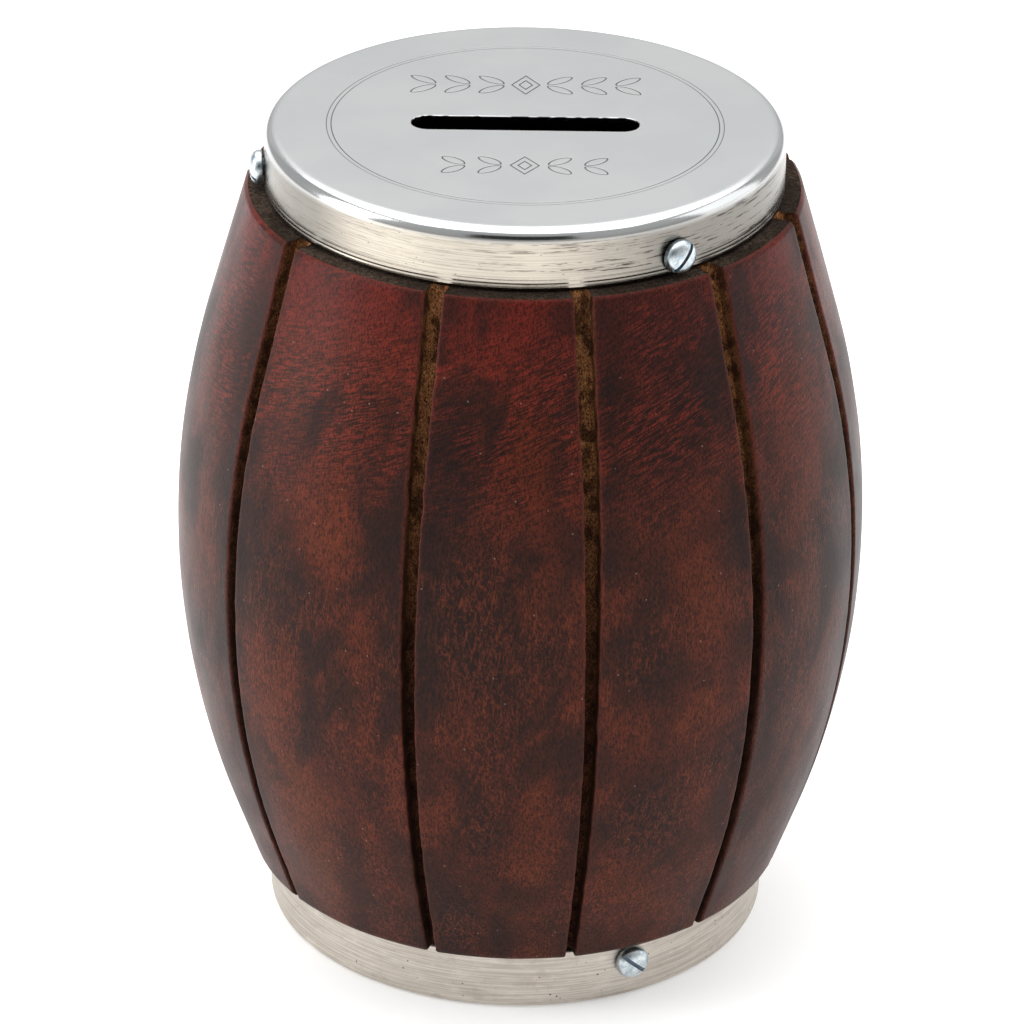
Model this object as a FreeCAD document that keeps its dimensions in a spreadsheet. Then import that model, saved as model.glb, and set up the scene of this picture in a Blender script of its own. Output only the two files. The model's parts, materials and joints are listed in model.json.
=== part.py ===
"""Barrel-shaped wooden money box: a turned and kerfed wooden barrel, bored right through, that is closed at
each end by a pressed sheet-metal cap held with three slotted wood screws. The top cap has the coin slot.

Millimetres, +Z up, origin at the centre of the underside. The coin slot runs along X and the front is -Y.
Angles round the barrel are counted from the front towards +X.
"""

import FreeCAD, Part
import math
import os

import Sketcher
from FreeCAD import Placement, Rotation, Vector

# Driving dimensions, in millimetres. They go into the spreadsheet under these names.
DIMENSIONS = {
    "total_height": 142.0,
    # wooden barrel
    "belly_height": 70.4,
    "shoulder_bottom": 11.2,
    "shoulder_top": 131.6,
    "belly_radius": 57.15,
    "belly_arc_radius": 142.5,
    "bottom_radius": 44.85,
    "top_radius": 45.35,
    "bore_radius": 31.0,
    "neck_clearance": 0.15,  # between each neck's side and the cap's skirt
    "neck_gap": 0.3,  # from each neck's end to the sheet metal
    "top_neck_chamfer": 2.4,
    "base_neck_chamfer": 1.2,
    # kerfs that divide the barrel into staves
    "kerf_depth": 3.0,
    "kerf_width_top": 3.2,
    "kerf_width_bottom": 1.8,
    "kerf_inner_radius": 36.0,
    "kerf_outer_radius": 60.0,
    # sheet-metal caps
    "sheet_thickness": 0.8,
    "top_cap_radius": 42.3,
    "top_cap_rim": 132.0,
    "top_cap_edge": 2.2,
    "base_cap_radius": 42.0,
    "base_cap_rim": 10.7,
    "base_cap_edge": 1.6,
    "slot_length": 37.0,
    "slot_width": 5.7,
    "ring_inner_radius": 31.3,
    "ring_outer_radius": 32.3,
    "ring_depth": 0.25,
    # number 4 slotted round-head wood screws, 3/8 inch long
    "screw_length": 9.5,
    "head_radius": 2.8,
    "head_height": 2.1,
    "head_rounding": 1.5,
    "head_gap": 0.3,  # keeps the flat underside clear of the round skirt
    "crest_radius": 1.4,
    "root_radius": 1.0,
    "shank_length": 2.2,
    "tip_length": 2.1,
    "driver_slot_width": 0.65,
    "driver_slot_depth": 1.0,
    "pilot_radius": 1.45,
    "pilot_spare": 0.5,  # how far the pilot holes run on past the screws' tips
    "skirt_hole_radius": 1.55,
    "top_screw_height": 135.0,
    "base_screw_height": 7.1,
}

# The widths of the eleven staves in degrees, marked out by hand. The first kerf is left of the front, and the
# staves follow it towards the right.
FIRST_KERF = -55.0
STAVE_WIDTHS = [37.0, 30.0, 30.5, 31.5, 31.5, 31.0, 31.5, 31.0, 31.5, 31.5, 43.0]

# Where each screw stands round the barrel, and how far its driver slot is turned from level.
TOP_SCREWS = {
    "top_screw_front": (34.8, 50.0),
    "top_screw_rear": (154.0, 12.0),
    "top_screw_left": (-86.0, -28.0),
}
BASE_SCREWS = {
    "base_screw_front": (27.3, -42.0),
    "base_screw_right": (146.5, 75.0),
    "base_screw_rear": (-106.0, 20.0),
}

THREAD_PITCH = 1.1
OVERRUN = 2.0  # how far cutting tools reach past the material
SAME = 1e-4  # lengths closer than this are taken as equal

doc = FreeCAD.newDocument("money_box")
sheet = doc.addObject("Spreadsheet::Sheet", "dims")


def fill_sheet():
    for row, (name, value) in enumerate(DIMENSIONS.items(), start=1):
        sheet.set(f"A{row}", name)
        sheet.set(f"B{row}", str(value))
        sheet.setAlias(f"B{row}", name)
    doc.recompute()


def bind(target, **properties):
    """Ties properties of an object to expressions, in which a bare name is a cell of the sheet."""
    for name, expression in properties.items():
        target.setExpression(name, with_sheet(expression))


def with_sheet(expression):
    return " ".join(f"dims.{w}" if w in DIMENSIONS else w for w in str(expression).split())


def origin_plane(body, role):
    return next(f for f in body.Origin.OriginFeatures if f.Role == role)


def new_body(name):
    body = doc.addObject("PartDesign::Body", name)
    body.Label = name
    return body


def new_sketch(body, name, role):
    sketch = body.newObject("Sketcher::SketchObject", name)
    sketch.AttachmentSupport = [(origin_plane(body, role), "")]
    sketch.MapMode = "FlatFace"
    doc.recompute()
    return sketch


def value_of(sketch, expression):
    found = sketch.evalExpression(with_sheet(expression))
    return float(getattr(found, "Value", found))


def pin(sketch, edge, end, across, up):
    """Fixes one end of an edge at a place given by two expressions."""
    for kind, expression in (("DistanceX", across), ("DistanceY", up)):
        index = sketch.addConstraint(Sketcher.Constraint(kind, edge, end, value_of(sketch, expression)))
        if any(word in DIMENSIONS for word in str(expression).split()):
            sketch.setExpression(f"Constraints[{index}]", with_sheet(expression))


def polygon(sketch, corners):
    """Draws a closed outline through corners, each a pair of expressions tied to the sheet."""
    points = [Vector(value_of(sketch, a), value_of(sketch, u), 0) for a, u in corners]
    first = sketch.GeometryCount
    count = len(points)
    for i in range(count):
        sketch.addGeometry(Part.LineSegment(points[i], points[(i + 1) % count]), False)
    for i in range(count):
        sketch.addConstraint(Sketcher.Constraint("Coincident", first + i, 2, first + (i + 1) % count, 1))
        pin(sketch, first + i, 1, *corners[i])


def barrel_outline(sketch, inset, before, after):
    """Draws a closed section whose right side is the barrel's side, moved in by inset.

    The side is a belly arc with a straight flank tangent to it at each end. before holds the corners that
    lead up to the bottom of the side, and after holds those that follow its top.
    """
    belly, arc_radius, low_end, high_end = (
        value_of(sketch, f"{name} - {inset}")
        for name in ("belly_radius", "belly_arc_radius", "bottom_radius", "top_radius")
    )
    low, middle, high = (value_of(sketch, n) for n in ("shoulder_bottom", "belly_height", "shoulder_top"))
    centre = Vector(belly - arc_radius, middle, 0)

    def touch(point, side):
        """Where the tangent from an outside point meets the belly arc."""
        reach = point - centre
        turn = side * math.acos(arc_radius / reach.Length)
        angle = math.atan2(reach.y, reach.x) - turn
        return centre + Vector(math.cos(angle), math.sin(angle), 0) * arc_radius

    bottom, top = Vector(low_end, low, 0), Vector(high_end, high, 0)
    low_touch, high_touch = touch(bottom, -1), touch(top, 1)
    angles = [math.atan2(p.y - centre.y, p.x - centre.x) for p in (low_touch, high_touch)]
    sketch.addGeometry(Part.LineSegment(bottom, low_touch), False)
    sketch.addGeometry(Part.ArcOfCircle(Part.Circle(centre, Vector(0, 0, 1), arc_radius), *angles), False)
    sketch.addGeometry(Part.LineSegment(high_touch, top), False)
    points = [Vector(value_of(sketch, a), value_of(sketch, u), 0) for a, u in after + before]
    chain = [top, *points, bottom]
    for start, finish in zip(chain, chain[1:]):
        sketch.addGeometry(Part.LineSegment(start, finish), False)
    sketch.addConstraint(Sketcher.Constraint("Tangent", 0, 2, 1, 1))
    sketch.addConstraint(Sketcher.Constraint("Tangent", 1, 2, 2, 1))
    last = 2 + len(points) + 1
    for i in range(2, last):
        sketch.addConstraint(Sketcher.Constraint("Coincident", i, 2, i + 1, 1))
    sketch.addConstraint(Sketcher.Constraint("Coincident", last, 2, 0, 1))
    pin(sketch, 0, 1, f"bottom_radius - {inset}", "shoulder_bottom")
    pin(sketch, 2, 2, f"top_radius - {inset}", "shoulder_top")
    pin(sketch, 1, 3, "belly_radius - belly_arc_radius", "belly_height")
    radius = sketch.addConstraint(Sketcher.Constraint("Radius", 1, arc_radius))
    sketch.setExpression(f"Constraints[{radius}]", with_sheet(f"belly_arc_radius - {inset}"))
    for i, corner in enumerate(after + before):
        pin(sketch, 4 + i, 1, *corner)


def revolve(body, sketch, name):
    turned = body.newObject("PartDesign::Revolution", name)
    turned.Profile = sketch
    turned.ReferenceAxis = (sketch, ["V_Axis"])
    turned.Angle = 360.0
    doc.recompute()
    return turned


def round_edge(body, base, name, rounding, radius, height):
    """Rounds the circular edge of a turned piece that has this radius and height. All are expressions."""
    edge_radius, edge_height = value_of(base, radius), value_of(base, height)
    found = [
        f"Edge{i}"
        for i, edge in enumerate(base.Shape.Edges, start=1)
        if isinstance(edge.Curve, Part.Circle)
        and math.isclose(edge.Curve.Radius, edge_radius, abs_tol=SAME)
        and math.isclose(edge.Curve.Center.z, edge_height, abs_tol=SAME)
    ]
    rounded = body.newObject("PartDesign::Fillet", name)
    rounded.Base = (base, found)
    bind(rounded, Radius=rounding)
    doc.recompute()
    return rounded


def pressed_cup(name, radius, rim, edge, face, inner_face):
    """A sheet-metal cup whose flat lies between the heights face and inner_face, with a rounded edge."""
    body = new_body(f"{name}_pressing")
    section = new_sketch(body, f"{name}_section", "XZ_Plane")
    inside = f"{radius} - sheet_thickness"
    inner_corners = [("0", inner_face), (inside, inner_face), (inside, rim)]
    outer_corners = [(radius, rim), (radius, face), ("0", face)]
    polygon(section, inner_corners + outer_corners)
    turned = revolve(body, section, f"{name}_turned")
    outer = round_edge(body, turned, f"{name}_outer_edge", edge, radius, face)
    round_edge(body, outer, f"{name}_inner_edge", f"{edge} - sheet_thickness", inside, inner_face)
    return body


def outward(angle):
    """The direction away from the axis at an angle counted from the front."""
    turn = math.radians(angle)
    return Vector(math.sin(turn), -math.cos(turn), 0)


def cut(name, base, tool):
    done = doc.addObject("Part::Cut", name)
    done.Base = base
    done.Tool = tool
    done.Label = name
    doc.recompute()
    return done


def drilled(name, piece, screws, end, radius):
    """Drills a piece from outside for the screws of one end of the box, "top" or "base"."""
    depth = DIMENSIONS["screw_length"] + DIMENSIONS["pilot_spare"]
    bottom = DIMENSIONS[f"{end}_cap_radius"] - depth
    drills = []
    for screw, (angle, _) in screws.items():
        drill = doc.addObject("Part::Cylinder", f"{name}_{screw}_drill")
        bind(drill, Radius=radius, Height="4 * screw_length")
        place = outward(angle) * bottom + Vector(0, 0, DIMENSIONS[f"{end}_screw_height"])
        drill.Placement = Placement(place, Rotation(Vector(0, 0, 1), outward(angle)))
        drills.append(drill)
    joined = doc.addObject("Part::MultiFuse", f"{name}_drills")
    joined.Shapes = drills
    return cut(name, piece, joined)


def make_barrel():
    """The wooden barrel, turned with a neck at each end, bored, kerfed into staves and drilled for screws."""
    blank = new_body("barrel_blank")
    section = new_sketch(blank, "barrel_section", "XZ_Plane")
    top_neck = "top_cap_radius - sheet_thickness - neck_clearance"
    top_end = "total_height - sheet_thickness - neck_gap"
    base_neck = "base_cap_radius - sheet_thickness - neck_clearance"
    base_end = "sheet_thickness + neck_gap"
    after = [
        (top_neck, "shoulder_top"),
        (top_neck, f"{top_end} - top_neck_chamfer"),
        (f"{top_neck} - top_neck_chamfer", top_end),
        ("bore_radius", top_end),
    ]
    before = [
        ("bore_radius", base_end),
        (f"{base_neck} - base_neck_chamfer", base_end),
        (base_neck, f"{base_end} + base_neck_chamfer"),
        (base_neck, "shoulder_bottom"),
    ]
    barrel_outline(section, "0", before, after)
    revolve(blank, section, "barrel_turned")

    floor = new_body("kerf_floor")
    floor_section = new_sketch(floor, "kerf_floor_section", "XZ_Plane")
    floor_low, floor_high = (f"shoulder_bottom - {2 * OVERRUN}", f"shoulder_top + {2 * OVERRUN}")
    after = [("top_radius - kerf_depth", floor_high), ("0", floor_high)]
    before = [("0", floor_low), ("bottom_radius - kerf_depth", floor_low)]
    barrel_outline(floor_section, "kerf_depth", before, after)
    revolve(floor, floor_section, "kerf_floor_turned")

    blades = []
    angle = FIRST_KERF
    for i, width in enumerate(STAVE_WIDTHS, start=1):
        blade = doc.addObject("Part::Wedge", f"kerf_blade_{i}")
        bind(blade, Xmin="-0.5 * kerf_width_bottom", Xmax="0.5 * kerf_width_bottom")
        bind(blade, X2min="-0.5 * kerf_width_top", X2max="0.5 * kerf_width_top")
        bind(blade, Ymin=f"shoulder_bottom - {OVERRUN}", Ymax=f"shoulder_top + {OVERRUN}")
        bind(blade, Zmin="kerf_inner_radius", Zmax="kerf_outer_radius")
        bind(blade, Z2min="kerf_inner_radius", Z2max="kerf_outer_radius")
        upright = Rotation(Vector(1, 0, 0), 90)
        blade.Placement = Placement(Vector(), Rotation(Vector(0, 0, 1), angle) * upright)
        blades.append(blade)
        angle += width
    fan = doc.addObject("Part::MultiFuse", "kerf_blades")
    fan.Shapes = blades
    kerfed = cut("barrel_kerfed", blank, cut("kerf_waste", fan, floor))
    half_done = drilled("barrel_top_drilled", kerfed, TOP_SCREWS, "top", "pilot_radius")
    return drilled("barrel_body", half_done, BASE_SCREWS, "base", "pilot_radius")


def make_top_cap():
    """The pressed top cap, with a round edge, an engraved ring and the coin slot."""
    under = "total_height - sheet_thickness"
    body = pressed_cup("top_cap", "top_cap_radius", "top_cap_rim", "top_cap_edge", "total_height", under)

    ring_section = new_sketch(body, "engraved_ring_section", "XZ_Plane")
    polygon(
        ring_section,
        [
            ("ring_inner_radius", "total_height - ring_depth"),
            ("ring_outer_radius", "total_height - ring_depth"),
            ("ring_outer_radius", f"total_height + {OVERRUN}"),
            ("ring_inner_radius", f"total_height + {OVERRUN}"),
        ],
    )
    ring = body.newObject("PartDesign::Groove", "engraved_ring")
    ring.Profile = ring_section
    ring.ReferenceAxis = (ring_section, ["V_Axis"])
    ring.Angle = 360.0
    doc.recompute()

    slot = new_sketch(body, "coin_slot_outline", "XY_Plane")
    half_run = value_of(slot, "0.5 * slot_length - 0.5 * slot_width")
    slot_end = value_of(slot, "0.5 * slot_width")
    up = Vector(0, 0, 1)
    quarter = math.pi / 2
    right, left = Vector(half_run, 0, 0), Vector(-half_run, 0, 0)
    side = Vector(0, slot_end, 0)
    slot.addGeometry(Part.ArcOfCircle(Part.Circle(right, up, slot_end), -quarter, quarter), False)
    slot.addGeometry(Part.LineSegment(right + side, left + side), False)
    slot.addGeometry(Part.ArcOfCircle(Part.Circle(left, up, slot_end), quarter, 3 * quarter), False)
    slot.addGeometry(Part.LineSegment(left - side, right - side), False)
    for i in range(4):
        slot.addConstraint(Sketcher.Constraint("Tangent", i, 2, (i + 1) % 4, 1))
    pin(slot, 0, 3, "0.5 * slot_length - 0.5 * slot_width", "0")
    pin(slot, 2, 3, "0.5 * slot_width - 0.5 * slot_length", "0")
    radius = slot.addConstraint(Sketcher.Constraint("Radius", 0, slot_end))
    slot.setExpression(f"Constraints[{radius}]", with_sheet("0.5 * slot_width"))
    pocket = body.newObject("PartDesign::Pocket", "coin_slot")
    pocket.Profile = slot
    pocket.Type = "Length"
    pocket.Reversed = True
    bind(pocket, Length=f"total_height + {OVERRUN}")
    doc.recompute()
    return drilled("top_cap", body, TOP_SCREWS, "top", "skirt_hole_radius")


def make_base_cap():
    """The plain base cap that the box stands on."""
    body = pressed_cup("base_cap", "base_cap_radius", "base_cap_rim", "base_cap_edge", "0", "sheet_thickness")
    return drilled("base_cap", body, BASE_SCREWS, "base", "skirt_hole_radius")


def make_screw(name, angle, turn, end):
    """A slotted round-head wood screw, driven in through the skirt of the "top" or "base" cap.

    Its own +Z points out of the head, and its thread is drawn as plain ridges.
    """
    body = new_body(name)
    section = new_sketch(body, f"{name}_section", "XZ_Plane")
    ridges = int(value_of(section, "screw_length - shank_length - tip_length") / THREAD_PITCH)
    corners = [
        ("0", "0 - screw_length"),
        ("root_radius", "tip_length - screw_length"),
    ]
    for i in range(ridges):
        start = f"tip_length - screw_length + {round(i * THREAD_PITCH, 3)}"
        corners.append(("crest_radius", f"{start} + {0.5 * THREAD_PITCH}"))
        corners.append(("root_radius", f"{start} + {THREAD_PITCH}"))
    corners += [
        ("root_radius", "0 - shank_length"),
        ("crest_radius", "0 - shank_length"),
        ("crest_radius", "0"),
        ("head_radius", "0"),
        ("head_radius", "head_height"),
        ("0", "head_height"),
    ]
    polygon(section, corners)
    turned = revolve(body, section, f"{name}_turned")
    round_edge(body, turned, f"{name}_crown", "head_rounding", "head_radius", "head_height")
    slot = new_sketch(body, f"{name}_slot_outline", "YZ_Plane")
    polygon(
        slot,
        [
            ("-0.5 * driver_slot_width", "head_height - driver_slot_depth"),
            ("0.5 * driver_slot_width", "head_height - driver_slot_depth"),
            ("0.5 * driver_slot_width", f"head_height + {OVERRUN}"),
            ("-0.5 * driver_slot_width", f"head_height + {OVERRUN}"),
        ],
    )
    pocket = body.newObject("PartDesign::Pocket", f"{name}_slot")
    pocket.Profile = slot
    pocket.Type = "Length"
    pocket.Midplane = True
    bind(pocket, Length="4 * head_radius")
    doc.recompute()
    seat_radius = DIMENSIONS[f"{end}_cap_radius"] + DIMENSIONS["head_gap"]
    seat = outward(angle) * seat_radius + Vector(0, 0, DIMENSIONS[f"{end}_screw_height"])
    facing = Rotation(outward(angle + 90), Vector(0, 0, 1), outward(angle), "ZXY")
    body.Placement = Placement(seat, facing * Rotation(Vector(0, 0, 1), turn))
    return body


def check(pieces):
    """Stops the macro if any object failed or any piece is not one sound solid."""
    doc.recompute()
    failed = [o.Name for o in doc.Objects if {"Invalid", "Error"} & set(o.State)]
    if failed:
        raise RuntimeError(f"failed objects: {failed}")
    for piece in pieces:
        shape = piece.Shape
        if shape.isNull() or not shape.isValid() or len(shape.Solids) != 1:
            raise RuntimeError(f"{piece.Label} is not one valid solid")
        print(f"{piece.Label:18s} volume {shape.Volume:10.1f} mm3, solids {len(shape.Solids)}")


def main():
    fill_sheet()
    pieces = [make_barrel(), make_top_cap(), make_base_cap()]
    for name, (angle, turn) in TOP_SCREWS.items():
        pieces.append(make_screw(name, angle, turn, "top"))
    for name, (angle, turn) in BASE_SCREWS.items():
        pieces.append(make_screw(name, angle, turn, "base"))
    check(pieces)
    os.makedirs("parts", exist_ok=True)
    for piece in pieces:
        piece.Shape.exportStep(f"parts/{piece.Label}.step")


main()
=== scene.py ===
import json
import math

import bmesh
import bpy
import numpy as np
from mathutils import Matrix, Vector, noise
from mathutils.geometry import delaunay_2d_cdt


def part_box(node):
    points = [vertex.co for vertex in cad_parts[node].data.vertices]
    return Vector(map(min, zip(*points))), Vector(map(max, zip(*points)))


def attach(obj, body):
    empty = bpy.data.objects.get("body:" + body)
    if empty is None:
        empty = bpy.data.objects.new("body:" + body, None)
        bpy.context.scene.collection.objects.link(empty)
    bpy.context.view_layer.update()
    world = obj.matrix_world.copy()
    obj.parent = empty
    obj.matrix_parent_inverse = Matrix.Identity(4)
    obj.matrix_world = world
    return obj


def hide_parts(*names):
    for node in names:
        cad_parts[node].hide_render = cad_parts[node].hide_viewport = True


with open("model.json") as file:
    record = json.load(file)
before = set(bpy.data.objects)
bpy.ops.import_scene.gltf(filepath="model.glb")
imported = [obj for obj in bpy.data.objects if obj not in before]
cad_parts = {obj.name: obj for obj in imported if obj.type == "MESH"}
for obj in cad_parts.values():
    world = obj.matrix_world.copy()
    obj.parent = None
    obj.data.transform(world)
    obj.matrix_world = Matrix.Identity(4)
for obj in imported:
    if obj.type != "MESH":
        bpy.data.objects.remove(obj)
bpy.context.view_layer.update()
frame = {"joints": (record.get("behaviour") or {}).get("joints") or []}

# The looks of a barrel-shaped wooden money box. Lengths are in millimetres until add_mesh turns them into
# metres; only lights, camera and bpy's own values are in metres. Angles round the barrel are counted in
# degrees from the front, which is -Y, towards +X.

MM = 0.001

# Wooden barrel, as in the CAD part
BELLY_HEIGHT = 70.4
BELLY_RADIUS = 57.15
BELLY_ARC_RADIUS = 142.5
BOTTOM_RADIUS = 44.85
TOP_RADIUS = 45.35
BORE_RADIUS = 31.0
SHOULDER_GAP = (0.5, 0.4)  # from each cap's rim to the shoulder, at the base and at the top
NECK_CLEARANCE = 0.15
NECK_CHAMFERS = (1.2, 2.4)
KERF_DEPTH = 3.0
KERF_WIDTHS = (1.8, 3.2)  # at the bottom and at the top
FIRST_KERF = -55.0
STAVE_WIDTHS = [37.0, 30.0, 30.5, 31.5, 31.5, 31.0, 31.5, 31.0, 31.5, 31.5, 43.0]
KERF_INSET = 0.12  # how far the ragged walls of a kerf stand into the even cut on average
KERF_ROUGH_DEPTH = 0.8  # the walls are rough from this depth down
EDGE_ROUNDING = 0.38
FACE_WAVE = 0.05  # the staves' faces wave by this much each way, just under the nominal surface
SIDE_STEPS = 240  # up the barrel's side
STAVE_STEPS = 26  # across one stave

# Sheet-metal caps
SHEET = 0.8
TOP_EDGE = 2.2
BASE_EDGE = 1.6
SLOT_LENGTH = 37.0
SLOT_WIDTH = 5.7
SLOT_LIP = 0.1  # how far the slot's worn edge drops
RING_RADII = (31.3, 32.3)
RING_DEPTH = 0.04
RING_LINE = 0.24  # width of the dark line along each edge of the ring
LINE_WIDTH = 0.34  # of the ornament
LINE_DEPTH = 0.03
BRUSHED_RADIUS = 42.0  # where brushed lines have their true length
ROUND = 288  # segments round a cap
FLAT_SHARP = 7.0  # edges sharper than this angle stay crisp on the top cap, whose engraving is shallow

# Round-head wood screws
HEAD_RADIUS = 2.8
HEAD_HEIGHT = 2.1
HEAD_RIM = 0.5
HEAD_GAP = 0.3  # from a head's flat underside to the round skirt
SCREW_LENGTH = 9.5
SHANK_LENGTH = 2.2
TIP_LENGTH = 2.1
CREST_RADIUS = 1.4
ROOT_RADIUS = 1.0
THREAD_PITCH = 1.1
DRIVER_SLOT = (0.65, 1.0)  # width and depth
HOLE_RADIUS = 1.55
PILOT_RADIUS = 1.45
HOLE_DEPTH = 10.0  # from under the head inwards
# how far each driver slot is turned from level, in degrees
DRIVER_SLOT_TURNS = {
    "top_screw_front": 50.0,
    "top_screw_rear": 12.0,
    "top_screw_left": -28.0,
    "base_screw_front": -42.0,
    "base_screw_right": 75.0,
    "base_screw_rear": 20.0,
}

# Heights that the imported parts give
NECK_BOTTOM, NECK_TOP = (corner.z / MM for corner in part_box("barrel_body"))
TOP_RIM, TOP_FACE = (corner.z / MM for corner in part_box("top_cap"))
BASE_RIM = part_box("base_cap")[1].z / MM
TOP_CAP_RADIUS = round(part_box("top_cap")[1].x / MM, 1)
BASE_CAP_RADIUS = round(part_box("base_cap")[1].x / MM, 1)
SHOULDER_BOTTOM = BASE_RIM + SHOULDER_GAP[0]
SHOULDER_TOP = TOP_RIM - SHOULDER_GAP[1]
KERFS = np.cumsum([FIRST_KERF] + STAVE_WIDTHS[:-1])


# ---------------------------------------------------------------------------------------------- mesh helpers


def add_mesh(name, points, faces, material, sharp=30.0, **values):
    """Adds a piece from points in millimetres. values are numbers per point, kept as mesh attributes."""
    mesh = bpy.data.meshes.new(name)
    mesh.from_pydata([tuple(c * MM for c in p) for p in points], [], faces)
    for key, numbers in values.items():
        mesh.attributes.new(key, "FLOAT", "POINT").data.foreach_set("value", np.asarray(numbers, np.float32))
    piece = bpy.data.objects.new(name, mesh)
    bpy.context.scene.collection.objects.link(piece)
    mesh.materials.append(material)
    finish_mesh(mesh, sharp)
    return piece


def finish_mesh(mesh, sharp):
    """Merges doubled points, turns faces outwards, and shades smooth but over edges sharper than an angle."""
    shape = bmesh.new()
    shape.from_mesh(mesh)
    bmesh.ops.remove_doubles(shape, verts=shape.verts, dist=0.002 * MM)
    bmesh.ops.recalc_face_normals(shape, faces=shape.faces)
    for face in shape.faces:
        face.smooth = True
    for edge in shape.edges:
        edge.smooth = len(edge.link_faces) == 2 and edge.calc_face_angle() < math.radians(sharp)
    shape.to_mesh(mesh)
    shape.free()


def cut_away(piece, cutters, sharp):
    """Cuts closed pieces out of another and deletes them."""
    for cutter in cutters:
        step = piece.modifiers.new("cut", "BOOLEAN")
        step.operation = "DIFFERENCE"
        step.solver = "EXACT"
        step.object = cutter
    depsgraph = bpy.context.evaluated_depsgraph_get()
    done = bpy.data.meshes.new_from_object(piece.evaluated_get(depsgraph))
    piece.modifiers.clear()
    old = piece.data
    piece.data = done
    bpy.data.meshes.remove(old)
    for cutter in cutters:
        bpy.data.objects.remove(cutter)
    finish_mesh(piece.data, sharp)


def loop_faces(rows, columns, closed_rows=False):
    """Quads over a grid of points that is closed round its columns."""
    faces = []
    for i in range(rows if closed_rows else rows - 1):
        here, there = i * columns, (i + 1) % rows * columns
        for j in range(columns):
            k = (j + 1) % columns
            faces.append((here + j, here + k, there + k, there + j))
    return faces


def lathe(section, segments, wobble=None):
    """Points and faces of a section of (radius, height) turned round the Z axis. A radius of 0 closes an end.

    wobble(radius, height, angle) gives a radius of its own to a point, for a thread.
    """
    points, faces = [], []
    last = None
    for radius, height in section:
        row = []
        for j in range(1 if radius == 0 else segments):
            angle = math.tau * j / segments
            reach = wobble(radius, height, angle) if wobble and radius else radius
            row.append(len(points))
            points.append((reach * math.cos(angle), reach * math.sin(angle), height))
        if last and len(last) == len(row):
            faces += [(last[j], last[j - 1], row[j - 1], row[j]) for j in range(segments)]
        elif last:
            tip, ring = (last[0], row) if len(last) == 1 else (row[0], last)
            faces += [(tip, ring[j - 1], ring[j]) for j in range(segments)]
        last = row
    return points, faces


def arc(centre, radius, start, end, steps):
    """Points of an arc in a section, between two angles in degrees."""
    angles = [math.radians(start + (end - start) * i / steps) for i in range(steps + 1)]
    return [(centre[0] + radius * math.cos(a), centre[1] + radius * math.sin(a)) for a in angles]


def spread(start, end, steps):
    """Evenly spaced numbers from start to end, both included."""
    return list(np.linspace(start, end, steps + 1))


# ---------------------------------------------------------------------------------------------- materials


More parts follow.
